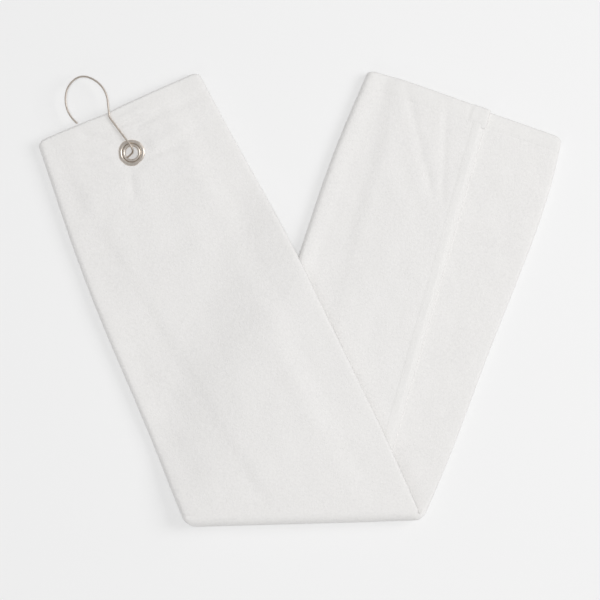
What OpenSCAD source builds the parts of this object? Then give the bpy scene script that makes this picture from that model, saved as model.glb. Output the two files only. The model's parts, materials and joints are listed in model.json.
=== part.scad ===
// Golf towel: one long cotton cloth folded in three lengthwise, then folded in half on the skew so that it
// lies as a V. A metal grommet near one end holds a bent wire hook. Units are mm and +Z is up.
// The cloth lies on z = 0. The two legs of the V are the lower (back) leg and the upper (front) leg.

/* [Cloth] */
// thickness of one layer of terry cloth
cloth_t = 2.5; // [1.8:0.1:3.0]
// air between two layers of the same leg
layer_gap = 0.2; // [0.1:0.05:0.4]
// air between the lower and the upper leg
leg_gap = 0.3; // [0.3:0.05:0.6]

/* [Folded strip] */
// width of the folded strip where it turns over
strip_w = 154; // [140:1:165]
// how far the strip runs off square to the turn, in degrees
lean = 22.8; // [18:0.2:28]
// tilt of the turn in the whole lay-out, in degrees
turn_tilt = 1.6; // [0:0.1:4]
// distance along the lower leg's outer fold from the turn to its end
lower_len = 356; // [330:1:380]
// width of the lower leg at its end
lower_end_w = 146.5; // [135:0.5:152]
// how much further the far corner of the lower leg's end reaches
lower_end_skew = 7; // [0:0.5:12]
// distance along the upper leg's outer fold from the turn to its end
upper_len = 301.6; // [280:0.2:320]
// width of the upper leg at its end
upper_end_w = 126.5; // [120:0.5:140]
// how far the upper leg's outer fold leans in at its end
upper_end_in = 13.5; // [8:0.5:18]

/* [Flaps] */
// width of the outer flap at the turn
outer_w_turn = 119; // [105:1:130]
// width of the outer flap at the lower leg's end
outer_w_end = 91; // [80:1:105]
// width of the outer flap at the upper leg's end
outer_w_far = 101; // [90:1:118]
// width of the inner flap at the turn
inner_w_turn = 92; // [85:1:120]
// width of the inner flap at the lower leg's end
inner_w_end = 124; // [110:1:140]
// width of the inner flap at the upper leg's end
inner_w_far = 119; // [105:1:120]
// how far the outer flap's end reaches past the layers below it
flap_overhang = 2.5; // [0:0.5:5]
// where the lifting corner's crease starts on the end edge, from the long fold
crease_start = 22; // [14:1:40]
// where the lifting corner's crease meets the free edge, along the leg
crease_end = 140; // [135:1:220]

/* [Hems] */
// depth of the hem across each end
end_hem = 12; // [9:0.5:14]
// depth of the hem along each free long edge
long_hem = 10; // [8:0.5:12]
// extra height of the doubled hem on the lifting corner
hem_rise = 0.4; // [0:0.1:0.6]

/* [Stitches] */
// distance from one stitch to the next
stitch_pitch = 3.4; // [2.6:0.1:5]
// length of thread that shows in one stitch
stitch_l = 2.4; // [1.6:0.1:2.4]
// diameter of the thread
thread_d = 0.45; // [0.3:0.05:0.6]
// how far the stitch row lies inside the hem's inner edge
stitch_in = 1.6; // [1:0.1:2.5]

/* [Drape] */
// height of the upper leg's underside where it lies beside the lower leg
low_z = 1.4; // [1.4:0.1:2.4]
// where the upper leg starts to step down, past the lower leg's outer fold
ramp_start = 8; // [8:1:14]
// length of the step down
ramp_len = 24; // [18:1:34]

/* [Grommet] */
// diameter of the hole
hole_d = 9.5; // [9.5:0.1:10]
// outside diameter of the flange and of the washer
flange_d = 19.4; // [19:0.1:20.4]
// distance from the hole's centre to the towel's end
hole_to_end = 34.1; // [30:0.1:40]
// distance from the hole's centre to the upper leg's outer fold line
hole_across = 71.3; // [66:0.1:78]
// thickness that the grommet squeezes the three layers to
grip_t = 5.5; // [5.2:0.1:6]

/* [Hook] */
// diameter of the wire
wire_d = 1.4; // [1.2:0.1:1.4]
// direction of the shank in the lay-out, in degrees from +X
shank_angle = 126.9; // [120:0.1:132]
// how far the shank's line passes the hole's centre
shank_offset = 2.66; // [2.4:0.02:2.9]
// length of the straight shank
shank_l = 22.8; // [20:0.1:28]
// length of the short end behind the cloth
tail_l = 9; // [6:0.5:12]

/* [Hidden] */
$fn = 96;
SKIN = 0.05;
FAR = 600;
LEVEL = cloth_t + layer_gap;
STACK = 3 * cloth_t + 2 * layer_gap;
TURN_Z = STACK + leg_gap / 2;
TURN_X = strip_w / cos(lean);
DROP = STACK + leg_gap - low_z;
TAN = tan(lean);

// levels count inwards from the outside of the turn
MIDDLE = 0;
INNER = 1;
OUTER = 2;

// grommet heights: the squeezed cloth lies between the flange and the washer
SQUEEZE = (STACK - grip_t) / 2;
GRIP_LO = low_z + SQUEEZE;
GRIP_HI = GRIP_LO + grip_t;
HOLE_R = hole_d / 2;
FLANGE_R = flange_d / 2;
BARREL_R = HOLE_R + 0.5;
CLOTH_HOLE_R = BARREL_R + 0.1;
DIMPLE_R = FLANGE_R + 0.3;
FLANGE_T = 0.9;
WASHER_T = 0.4;
BAND_RISE = 0.8;
BAND_IN = HOLE_R + 2;
LIP_R = 0.95;
LIP_TOP = GRIP_HI + 1.6;

// wire heights: the shank runs over the lip, the tail under the flange
WIRE_R = wire_d / 2;
WIRE_GAP = 0.3;
WIRE_FN = 24;
SWELL = 0.03;
COLLAR_L = 0.2;
SHANK_Z = LIP_TOP + WIRE_GAP + WIRE_R;
TAIL_Z = GRIP_LO - FLANGE_T - WIRE_GAP - WIRE_R;
DIP_TILT = 62;
DIP_R = shank_offset / cos(DIP_TILT);
LEVEL_R = 3;
DIP_FALL = DIP_R * sin(DIP_TILT);
LEVEL_FALL = LEVEL_R * (1 - cos(DIP_TILT));
DIP_STRAIGHT = (SHANK_Z - TAIL_Z - DIP_FALL - LEVEL_FALL) / sin(DIP_TILT);
DIP_START = 5.4;

// the strip's long edges in each leg's own frame: x across from the outer fold, y along from the turn
UPPER_X = upper_end_in + upper_end_w;
lower_fold = [[0, -FAR], [0, lower_len]];
lower_far = [[strip_w, -FAR], [strip_w, lower_len - 56], [lower_end_w, lower_len + lower_end_skew]];
upper_fold = [[0, -FAR], [0, 100], [5, 210], [upper_end_in, upper_len]];
upper_far = [[strip_w, -FAR], [strip_w, 0], [151, 150], [144.5, 245], [UPPER_X, upper_len]];

// free edges of the flaps: [at the turn, at the end]
OUTER_Y = outer_w_turn * TAN;
INNER_X = strip_w - inner_w_turn;
INNER_Y = INNER_X * TAN;
lower_outer_edge = [[outer_w_turn, OUTER_Y], [outer_w_end, lower_len + 6 + flap_overhang]];
lower_inner_edge = [[INNER_X, INNER_Y], [lower_end_w - inner_w_end, lower_len]];
upper_outer_edge = [[outer_w_turn, -OUTER_Y], [upper_end_in + outer_w_far, upper_len]];
upper_inner_edge = [[INNER_X, -INNER_Y], [UPPER_X - inner_w_far, upper_len]];

// lay-out: the box around both legs is centred on the origin
function leg_point(side, p) = [
  p[0] * cos(lean) + side * p[1] * sin(lean),
  -side * p[0] * sin(lean) + p[1] * cos(lean)
];
function turned(p) = [
  p[0] * cos(turn_tilt) - p[1] * sin(turn_tilt),
  p[0] * sin(turn_tilt) + p[1] * cos(turn_tilt)
];
LOWER_SIDE = 1;
UPPER_SIDE = -1;
corner_far_lower = turned(leg_point(LOWER_SIDE, [lower_end_w, lower_len + lower_end_skew]));
corner_fold_lower = turned(leg_point(LOWER_SIDE, [0, lower_len]));
corner_fold_upper = turned(leg_point(UPPER_SIDE, [upper_end_in, upper_len]));
corner_far_upper = turned(leg_point(UPPER_SIDE, [UPPER_X, upper_len]));
MID_X = (corner_far_lower[0] + corner_fold_upper[0]) / 2;
MID_Y = max(corner_fold_lower[1], corner_far_upper[1]) / 2;
hole_at = turned(leg_point(UPPER_SIDE, [hole_across, upper_len - hole_to_end]));

// a point on the line through the two points of an edge, at height y
function on_edge(e, y) = e[0] + (e[1] - e[0]) * (y - e[0][1]) / (e[1][1] - e[0][1]);
function shifted(e, dx) = [for (p = e) [p[0] + dx, p[1]]];
function backwards(l) = [for (i = [len(l) - 1:-1:0]) l[i]];

// height of the lower leg's end line at x
function end_line_y(x) = lower_len + x * lower_end_skew / lower_end_w;

// the same edge run well past both of its ends
function long_edge(e) = [on_edge(e, -FAR), on_edge(e, FAR)];

// everything in the lay-out starts here
module lay_out() {
  translate([-MID_X, -MID_Y, 0])
    rotate([0, 0, turn_tilt])
      children();
}

module in_leg(side) {
  rotate([0, 0, -side * lean])
    children();
}

// the lower leg's end line, and the same for the upper leg, moved in by a distance
module end_keep(side, in, past = 0) {
  if (side == LOWER_SIDE)
    polygon([
      [-FAR, -FAR], [FAR, -FAR], [FAR, lower_len + FAR * lower_end_skew / lower_end_w - in + past],
      [-FAR, lower_len - FAR * lower_end_skew / lower_end_w - in + past]
    ]);
  else
    polygon([[-FAR, -FAR], [FAR, -FAR], [FAR, upper_len - in], [-FAR, upper_len - in]]);
}

module end_band(side, past = 0) {
  difference() {
    end_keep(side, 0, past);
    end_keep(side, end_hem, past);
  }
}

module strip_outline(side) {
  fold = side == LOWER_SIDE ? lower_fold : upper_fold;
  far = side == LOWER_SIDE ? lower_far : upper_far;
  polygon(concat(fold, backwards(far)));
}

// the whole strip, with the outer flap's free end a little longer
module strip_long(past) {
  translate([0, past])
    strip_outline(LOWER_SIDE);
}

// a half plane left (-1) or right (+1) of an edge
module beside(edge, dir) {
  e = long_edge(edge);
  polygon([e[0], e[1], e[1] + [dir * FAR, 0], e[0] + [dir * FAR, 0]]);
}

// the two sides of the lifting corner's crease, in the lower leg's frame
CREASE_A = [crease_start, lower_len + crease_start * lower_end_skew / lower_end_w + flap_overhang];
CREASE_B = [on_edge(lower_outer_edge, crease_end)[0], crease_end];
CREASE_CUT = 0.15;
module corner_side() {
  d = (CREASE_A - CREASE_B) / norm(CREASE_A - CREASE_B);
  n = [d[1], -d[0]];
  a = CREASE_A + d * FAR + n * CREASE_CUT;
  b = CREASE_B - d * FAR + n * CREASE_CUT;
  polygon([a, b, b + n * 2 * FAR, a + n * 2 * FAR]);
}

module held_side() {
  d = (CREASE_A - CREASE_B) / norm(CREASE_A - CREASE_B);
  n = [d[1], -d[0]];
  a = CREASE_A + d * FAR - n * CREASE_CUT;
  b = CREASE_B - d * FAR - n * CREASE_CUT;
  polygon([a, b, b - n * 2 * FAR, a - n * 2 * FAR]);
}

// heights of the upper leg's slab across the lower leg's frame: level, then a step down, then level
module drape(z_low, z_high) {
  in_leg(LOWER_SIDE)
    translate([0, FAR, 0])
      rotate([90, 0, 0])
        linear_extrude(2 * FAR)
          polygon([
            [FAR, z_low], [-ramp_start, z_low], [-ramp_start - ramp_len, z_low - DROP],
            [-FAR, z_low - DROP], [-FAR, z_high - DROP], [-ramp_start - ramp_len, z_high - DROP],
            [-ramp_start, z_high], [FAR, z_high]
          ]);
}

// one quarter of the turn's shell for one level
module turn_shell(side, level) {
  outer_r = TURN_Z - level * LEVEL;
  up = side == UPPER_SIDE ? 1 : -1;
  translate([-FAR / 2, TURN_Z, TURN_Z])
    rotate([90, 0, 90])
      linear_extrude(FAR)
        intersection() {
          difference() {
            circle(outer_r);
            circle(outer_r - cloth_t);
          }
          translate([-2 * TURN_Z, up > 0 ? leg_gap / 2 : -2 * TURN_Z])
            square([2 * TURN_Z, 2 * TURN_Z - leg_gap / 2]);
        }
}

// the flat or draped slab of one level, from below z_lo to z_hi counted from the outside
module slab(side, lo, hi) {
  intersection() {
    translate([-FAR, TURN_Z, -1])
      cube([2 * FAR, FAR, 3 * STACK]);
    if (side == LOWER_SIDE)
      translate([-FAR, 0, lo])
        cube([2 * FAR, FAR, hi - lo]);
    else
      drape(2 * TURN_Z - hi, 2 * TURN_Z - lo);
  }
}

// cloth of one level inside the 2-D outline given as children, slab and turn together
module cloth(side, level, rise = 0) {
  intersection() {
    in_leg(side)
      translate([0, 0, -1])
        linear_extrude(3 * STACK)
          children();
    union() {
      slab(side, level * LEVEL, level * LEVEL + cloth_t + rise);
      turn_shell(side, level);
    }
  }
}

// cloth that stops short of the turn
module flat_cloth(side, lo, hi) {
  intersection() {
    in_leg(side)
      translate([0, 0, -1])
        linear_extrude(3 * STACK)
          children();
    slab(side, lo, hi);
  }
}

// the strip of the outer flap that runs down its long fold to the middle panel
module fold_wall(side) {
  reach = side == LOWER_SIDE ? cloth_t : strip_w / 2;
  flat_cloth(side, LEVEL, OUTER * LEVEL + SKIN)
    intersection() {
      difference() {
        strip_outline(side);
        translate([cloth_t, 0])
          strip_outline(side);
      }
      translate([-FAR, -FAR])
        square([FAR + reach, 2 * FAR]);
      end_keep(side, 0);
    }
}

module outer_outline(side, in_edge, in_end, past = 0) {
  edge = side == LOWER_SIDE ? lower_outer_edge : upper_outer_edge;
  intersection() {
    if (side == LOWER_SIDE)
      strip_long(past);
    else
      strip_outline(side);
    beside(shifted(edge, -in_edge), -1);
    end_keep(side, in_end, past);
  }
}

module inner_outline(side, in_edge, in_end) {
  edge = side == LOWER_SIDE ? lower_inner_edge : upper_inner_edge;
  intersection() {
    strip_outline(side);
    beside(shifted(edge, in_edge), 1);
    end_keep(side, in_end);
  }
}

module middle_outline(side, in_end) {
  intersection() {
    strip_outline(side);
    end_keep(side, in_end);
  }
}

module long_hem_outline(side, level) {
  edge = level == OUTER
    ? (side == LOWER_SIDE ? lower_outer_edge : upper_outer_edge)
    : (side == LOWER_SIDE ? lower_inner_edge : upper_inner_edge);
  dir = level == OUTER ? -1 : 1;
  past = side == LOWER_SIDE && level == OUTER ? flap_overhang : 0;
  intersection() {
    difference() {
      beside(edge, dir);
      beside(shifted(edge, dir * long_hem), dir);
    }
    end_keep(side, end_hem + SKIN, past);
  }
}

// a straight row of stitches lying on the cloth, from a to b at height z
module stitch_row(a, b, z) {
  run = norm(b - a);
  count = floor(run / stitch_pitch);
  start = (run - (count - 1) * stitch_pitch - stitch_l) / 2;
  translate([a[0], a[1], z + thread_d / 2 + SKIN])
    rotate([0, 0, atan2(b[1] - a[1], b[0] - a[0])])
      for (i = [0:count - 1])
        translate([start + i * stitch_pitch, 0, 0])
          rotate([0, 90, 0])
            cylinder(h = stitch_l, d = thread_d, $fn = 24);
}

// holes and dimples of the grommet, cut from the upper leg's cloth
module grommet_room() {
  in_leg(UPPER_SIDE)
    translate([hole_across, upper_len - hole_to_end, 0]) {
      cylinder(h = 2 * STACK, r = CLOTH_HOLE_R);
      cylinder(h = GRIP_LO, r = DIMPLE_R);
      translate([0, 0, GRIP_HI])
        cylinder(h = STACK, r = DIMPLE_R);
    }
}

module at_grommet() {
  translate([hole_at[0] - MID_X, hole_at[1] - MID_Y, 0])
    children();
}

// ---- lower leg ----
module lower_middle_panel() {
  color([0.93, 0.93, 0.91])
    lay_out()
      cloth(LOWER_SIDE, MIDDLE)
        middle_outline(LOWER_SIDE, end_hem + SKIN);
}

module lower_inner_flap() {
  color([0.92, 0.92, 0.90])
    lay_out()
      cloth(LOWER_SIDE, INNER)
        inner_outline(LOWER_SIDE, long_hem + SKIN, end_hem + SKIN);
}

module lower_outer_flap() {
  color([0.94, 0.94, 0.92])
    lay_out()
      union() {
        cloth(LOWER_SIDE, OUTER)
          intersection() {
            outer_outline(LOWER_SIDE, long_hem + SKIN, end_hem + SKIN, flap_overhang);
            held_side();
          }
        fold_wall(LOWER_SIDE);
      }
}

module lower_inner_hem() {
  color([0.88, 0.88, 0.86])
    lay_out()
      cloth(LOWER_SIDE, INNER)
        long_hem_outline(LOWER_SIDE, INNER);
}

module lower_outer_hem() {
  color([0.88, 0.88, 0.86])
    lay_out()
      cloth(LOWER_SIDE, OUTER)
        intersection() {
          long_hem_outline(LOWER_SIDE, OUTER);
          held_side();
        }
}

module lower_end_hem() {
  color([0.87, 0.87, 0.85])
    lay_out() {
      flat_cloth(LOWER_SIDE, 0, cloth_t)
        intersection() {
          middle_outline(LOWER_SIDE, 0);
          end_band(LOWER_SIDE);
        }
      flat_cloth(LOWER_SIDE, LEVEL, LEVEL + cloth_t)
        intersection() {
          inner_outline(LOWER_SIDE, 0, 0);
          end_band(LOWER_SIDE);
        }
      flat_cloth(LOWER_SIDE, OUTER * LEVEL + 2 * SKIN, STACK)
        intersection() {
          outer_outline(LOWER_SIDE, 0, 0, flap_overhang);
          end_band(LOWER_SIDE, flap_overhang);
          held_side();
        }
    }
}

module lower_end_stitches() {
  color([0.97, 0.97, 0.95])
    lay_out()
      in_leg(LOWER_SIDE)
        stitch_row(
          [outer_w_end + 4, end_line_y(outer_w_end + 4) - end_hem + stitch_in],
          [lower_end_w - 2, end_line_y(lower_end_w - 2) - end_hem + stitch_in],
          LEVEL + cloth_t
        );
}

module lower_outer_stitches() {
  edge = shifted(lower_outer_edge, -long_hem + stitch_in);
  color([0.97, 0.97, 0.95])
    lay_out()
      in_leg(LOWER_SIDE)
        stitch_row(on_edge(edge, crease_end - 12), on_edge(edge, crease_end + 12), STACK);
}

// ---- lifting corner of the outer flap ----
module corner_panel() {
  color([0.95, 0.95, 0.93])
    lay_out()
      flat_cloth(LOWER_SIDE, OUTER * LEVEL, STACK)
        intersection() {
          outer_outline(LOWER_SIDE, long_hem + SKIN, end_hem + SKIN, flap_overhang);
          corner_side();
        }
}

module corner_long_hem() {
  color([0.89, 0.89, 0.87])
    lay_out()
      flat_cloth(LOWER_SIDE, OUTER * LEVEL, STACK + hem_rise)
        intersection() {
          long_hem_outline(LOWER_SIDE, OUTER);
          corner_side();
        }
}

module corner_end_hem() {
  color([0.88, 0.88, 0.86])
    lay_out()
      flat_cloth(LOWER_SIDE, OUTER * LEVEL, STACK + hem_rise)
        intersection() {
          outer_outline(LOWER_SIDE, 0, 0, flap_overhang);
          end_band(LOWER_SIDE, flap_overhang);
          corner_side();
        }
}

module corner_long_stitches() {
  edge = shifted(lower_outer_edge, -long_hem + stitch_in);
  color([0.97, 0.97, 0.95])
    lay_out()
      in_leg(LOWER_SIDE)
        stitch_row(
          on_edge(edge, crease_end + 28),
          on_edge(edge, end_line_y(outer_w_end) + flap_overhang - end_hem - 1),
          STACK + hem_rise
        );
}

module corner_end_stitches() {
  y_in = flap_overhang - end_hem + stitch_in;
  a = crease_start + 8;
  b = outer_w_end - 2;
  color([0.97, 0.97, 0.95])
    lay_out()
      in_leg(LOWER_SIDE)
        stitch_row([a, end_line_y(a) + y_in], [b, end_line_y(b) + y_in], STACK + hem_rise);
}

// ---- upper leg ----
module upper_middle_panel() {
  color([0.93, 0.93, 0.92])
    lay_out()
      difference() {
        cloth(UPPER_SIDE, MIDDLE)
          middle_outline(UPPER_SIDE, end_hem + SKIN);
        grommet_room();
      }
}

module upper_inner_flap() {
  color([0.91, 0.91, 0.89])
    lay_out()
      difference() {
        cloth(UPPER_SIDE, INNER)
          inner_outline(UPPER_SIDE, long_hem + SKIN, end_hem + SKIN);
        grommet_room();
      }
}

module upper_outer_flap() {
  color([0.92, 0.92, 0.90])
    lay_out()
      difference() {
        union() {
          cloth(UPPER_SIDE, OUTER)
            outer_outline(UPPER_SIDE, long_hem + SKIN, end_hem + SKIN);
          fold_wall(UPPER_SIDE);
        }
        grommet_room();
      }
}

module upper_inner_hem() {
  color([0.88, 0.88, 0.86])
    lay_out()
      cloth(UPPER_SIDE, INNER)
        long_hem_outline(UPPER_SIDE, INNER);
}

module upper_outer_hem() {
  color([0.88, 0.88, 0.86])
    lay_out()
      cloth(UPPER_SIDE, OUTER)
        long_hem_outline(UPPER_SIDE, OUTER);
}

module upper_end_hem() {
  color([0.87, 0.87, 0.85])
    lay_out() {
      flat_cloth(UPPER_SIDE, 0, cloth_t)
        intersection() {
          middle_outline(UPPER_SIDE, 0);
          end_band(UPPER_SIDE);
        }
      flat_cloth(UPPER_SIDE, LEVEL, LEVEL + cloth_t)
        intersection() {
          inner_outline(UPPER_SIDE, 0, 0);
          end_band(UPPER_SIDE);
          translate([cloth_t + layer_gap, 0])
            strip_outline(UPPER_SIDE);
        }
      flat_cloth(UPPER_SIDE, OUTER * LEVEL + 2 * SKIN, STACK)
        intersection() {
          outer_outline(UPPER_SIDE, 0, 0);
          end_band(UPPER_SIDE);
        }
    }
}

module upper_end_stitches() {
  y = upper_len - end_hem + stitch_in;
  color([0.97, 0.97, 0.95])
    lay_out()
      in_leg(UPPER_SIDE)
        stitch_row([upper_end_in + 2, y], [UPPER_X - 2, y], low_z + STACK);
}

// ---- grommet ----
// eyelet: rounded flange behind the cloth, barrel through it, and the lip rolled over the washer
module grommet_eyelet() {
  color([0.75, 0.73, 0.70])
    at_grommet()
      rotate_extrude()
        union() {
          translate([HOLE_R, GRIP_LO - FLANGE_T])
            square([FLANGE_R - HOLE_R - FLANGE_T / 2, FLANGE_T]);
          translate([FLANGE_R - FLANGE_T / 2, GRIP_LO - FLANGE_T / 2])
            circle(FLANGE_T / 2);
          translate([HOLE_R, GRIP_LO - FLANGE_T])
            square([BARREL_R - HOLE_R, LIP_TOP - LIP_R - GRIP_LO + FLANGE_T]);
          intersection() {
            translate([HOLE_R + LIP_R, LIP_TOP - LIP_R])
              circle(LIP_R);
            translate([0, GRIP_HI + WASHER_T + SKIN])
              square(FLANGE_R);
          }
        }
}

// washer: flat ring under the rolled lip with a raised round band outside it
module grommet_washer() {
  half = (FLANGE_R - BAND_IN) / 2;
  band_r = (half * half + BAND_RISE * BAND_RISE) / (2 * BAND_RISE);
  color([0.78, 0.76, 0.73])
    at_grommet()
      rotate_extrude()
        union() {
          translate([BARREL_R + 2 * SKIN, GRIP_HI])
            square([FLANGE_R - BARREL_R - 2 * SKIN, WASHER_T]);
          intersection() {
            translate([BAND_IN + half, GRIP_HI + WASHER_T + BAND_RISE - band_r])
              circle(band_r);
            translate([BAND_IN, GRIP_HI])
              square([2 * half, WASHER_T + BAND_RISE]);
          }
        }
}

// ---- hook ----
// each step of the wire: [straight length, bend radius, bend angle, roll], bends turn left of the heading
DIP_STEPS = [
  [0, DIP_R, 90, 180 + DIP_TILT],
  [DIP_STRAIGHT, 0, 0, 0],
  [0, LEVEL_R, DIP_TILT, -90],
  [tail_l, 0, 0, 0]
];
LOOP_STEPS = [
  [shank_l, 0, 0, 0],
  [0, 6, 31, 180],
  [9.7, 0, 0, 180],
  [0, 20.4, 66.5, 0],
  [0, 10.8, 55, 0],
  [0, 16, 41, 0],
  [0, 22.3, 62.5, 0]
];

// a short collar at each join, a little thicker than the wire
module collar() {
  rotate([0, 90, 0])
    cylinder(h = COLLAR_L, r = WIRE_R + SWELL, $fn = WIRE_FN);
}

// draws the wire step by step along +X, each step carrying the next, and rounds the last end
module wire(steps, i = 0) {
  collar();
  translate([COLLAR_L, 0, 0])
    if (i == len(steps))
      sphere(WIRE_R + SWELL, $fn = WIRE_FN);
    else {
      s = steps[i];
      rotate([s[3], 0, 0])
        if (s[0] > 0) {
          rotate([0, 90, 0])
            cylinder(h = s[0], r = WIRE_R, $fn = WIRE_FN);
          translate([s[0], 0, 0])
            wire(steps, i + 1);
        } else
          translate([0, s[1], 0])
            rotate([0, 0, -90]) {
              rotate_extrude(angle = s[2], $fn = 2 * WIRE_FN)
                translate([s[1], 0])
                  circle(WIRE_R, $fn = WIRE_FN);
              rotate([0, 0, s[2]])
                translate([s[1], 0, 0])
                  rotate([0, 0, 90])
                    wire(steps, i + 1);
            }
    }
}

module hook_wire() {
  color([0.72, 0.71, 0.69])
    at_grommet()
      rotate([0, 0, shank_angle])
        translate([DIP_START, -shank_offset, SHANK_Z])
          union() {
            wire(LOOP_STEPS);
            rotate([0, 0, 180])
              wire(DIP_STEPS);
          }
}

lower_middle_panel();
lower_inner_flap();
lower_outer_flap();
lower_inner_hem();
lower_outer_hem();
lower_end_hem();
lower_end_stitches();
lower_outer_stitches();
corner_panel();
corner_long_hem();
corner_end_hem();
corner_long_stitches();
corner_end_stitches();
upper_middle_panel();
upper_inner_flap();
upper_outer_flap();
upper_inner_hem();
upper_outer_hem();
upper_end_hem();
upper_end_stitches();
grommet_eyelet();
grommet_washer();
hook_wire();
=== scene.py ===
import json
import math

import bpy
import numpy as np
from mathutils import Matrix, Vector


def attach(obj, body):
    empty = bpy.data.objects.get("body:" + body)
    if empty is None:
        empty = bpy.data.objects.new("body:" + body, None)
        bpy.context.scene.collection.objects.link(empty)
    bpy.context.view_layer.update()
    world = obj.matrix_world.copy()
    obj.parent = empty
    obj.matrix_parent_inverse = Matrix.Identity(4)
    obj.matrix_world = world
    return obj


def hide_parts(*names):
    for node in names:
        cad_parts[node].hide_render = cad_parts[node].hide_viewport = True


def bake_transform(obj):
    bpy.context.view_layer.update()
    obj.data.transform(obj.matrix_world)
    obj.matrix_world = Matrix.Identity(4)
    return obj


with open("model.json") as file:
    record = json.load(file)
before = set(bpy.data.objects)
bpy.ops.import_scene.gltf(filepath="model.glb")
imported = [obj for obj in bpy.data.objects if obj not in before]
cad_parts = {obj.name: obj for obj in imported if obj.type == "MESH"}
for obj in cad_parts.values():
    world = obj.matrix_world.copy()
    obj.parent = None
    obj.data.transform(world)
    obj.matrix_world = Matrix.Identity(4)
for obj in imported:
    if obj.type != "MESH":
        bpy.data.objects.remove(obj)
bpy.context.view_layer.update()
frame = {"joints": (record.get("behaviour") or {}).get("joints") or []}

# ---------------------------------------------------------------- measures, in mm
MM = 0.001                          # one millimetre in Blender's metres
JOINTS = {joint["name"]: joint for joint in frame["joints"]}
TURN_AXIS = JOINTS["v_fold"]["axis"]
# the turn's left end. Its height is also its radius
TURN_X, TURN_Y, TURN_Z = (value / MM for value in JOINTS["v_fold"]["pos_m"])
TILT = math.atan2(TURN_AXIS[1], TURN_AXIS[0])  # of the turn in the whole lay-out
GROMMET_X, GROMMET_Y = (value / MM for value in JOINTS["hook_swing"]["pos_m"][:2])
LEAN = math.radians(22.8)           # how far each leg runs off square to the turn
COS, SIN = math.cos(LEAN), math.sin(LEAN)
STRIP = 154                         # width of the folded strip
LAYER = 2.5                         # thickness of the cloth
LEVEL = 2.7                         # from the middle of one layer to the next
STACK = LAYER + 2 * LEVEL           # three layers
TOP = 2 * TURN_Z                    # top of the six layers
MIDDLE, INNER, OUTER = (LAYER / 2 + LEVEL * number for number in range(3))  # mid depths of the layers
RIGHT_RADIUS, LEFT_RADIUS = LEVEL / 2, LEVEL                                # of the long folds
END_HEM, LONG_HEM = 12.0, 10.0      # widths of the hems
HEM_THICKNESS = 3.05                # the doubled cloth, sewn flat
SEAM = 0.8                          # share of a hem's width where its seam lies
HEM_LAP = 2.6                       # how far a panel runs inside its hem
STEP_IN = 12.4                      # where the end hem steps down, in from a flap's free edge
PRESSED_GROMMET = 5.5               # three layers squeezed by the grommet
GROMMET_HOLE = 7.4                  # radius of the hole in the cloth, hidden under the grommet

# rough widths of the section's parts, from the inner flap's free edge to the outer flap's
PART_WIDTHS = {"inner": 97, "right": 0, "middle": 148, "left": 0, "outer": 112}
FOLD_COLUMNS = {"right": 9, "left": 13}
CELL = 2.2   # size of the cloth's squares
HEM_ROWS, LONG_HEM_COLUMNS = 15, 13
TURN_ROWS, TIP_GAP = 12, 0.11       # rows on each side of the turn's tip, and their angle from it
PANEL_BULGE, HEM_BULGE = 0.42, 0.4  # how far a rounded edge stands out, as a share of its thickness
STITCH_LENGTH, STITCH_PITCH, THREAD_RADIUS = 2.5, 3.4, 0.24
STITCH_RINGS, STITCH_SIDES = 5, 7
STITCH_RISE = 1.32                  # from the hem's middle to the thread
WIRE_RADIUS = 0.7

# each crease: its two ends in the row's frame, half width, height, and a step across it
UPPER_CREASES = [
    ((-139, 128), (-112, 140), 2.6, 0.55, 0),
    ((-138, 124), (-113, 136), 2.0, -1.0, 0),
    ((-126, 121), (-94, 143), 2.2, -1.0, 0),
    ((-106, 133), (-62, 155), 2.4, -0.6, 0.3),
    ((-166, 103), (-131, 103), 2.8, -0.9, 0.4),
    ((-117, 103), (-80, 114), 2.9, -0.9, -0.5),
    ((-115, 111), (-76, 129), 4.0, 0.7, 0),
    ((-124, 98), (-121, 70), 3.0, -0.7, 0.3),
    ((-133, 112), (-165, 121), 3.2, -0.7, 0.3),
    ((-148, 92), (-160, 40), 9.0, 0.55, 0),
    ((-106, 96), (-84, 30), 9.0, -0.5, 0),
    ((-86, 120), (-58, 60), 8.0, 0.5, 0),
    ((-30, -10), (20, -110), 8.0, 0.45, 0),
]
LOWER_CREASES = [
    ((76, 166), (101, 58), 3.6, -0.6, 0.5),
    ((106, 158), (101, 56), 3.4, -0.5, -0.5),
    ((60, 120), (84, 20), 9.0, 0.3, 0),
    ((150, 80), (118, -40), 8.0, 0.35, 0),
]


# ---------------------------------------------------------------- small helpers
def smooth(share):
    """A soft step from 0 at share 0 to 1 at share 1."""
    share = np.clip(share, 0, 1)
    return share * share * (3 - 2 * share)


def hill(distance, half):
    """A rounded hill, 1 high at distance 0."""
    return np.exp(-((distance / half) ** 2))


def unit_vector(vector):
    return vector / max(np.linalg.norm(vector), 1e-9)


def distances(line):
    """How far along a line of points each of them lies."""
    return np.concatenate([[0], np.cumsum(np.linalg.norm(np.diff(line, axis=0), axis=1))])


def value_along(distance, run, values):
    """The values of a line's points, read between them at a distance along it."""
    return np.array([np.interp(distance, run, values[:, axis]) for axis in range(3)])


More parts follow.
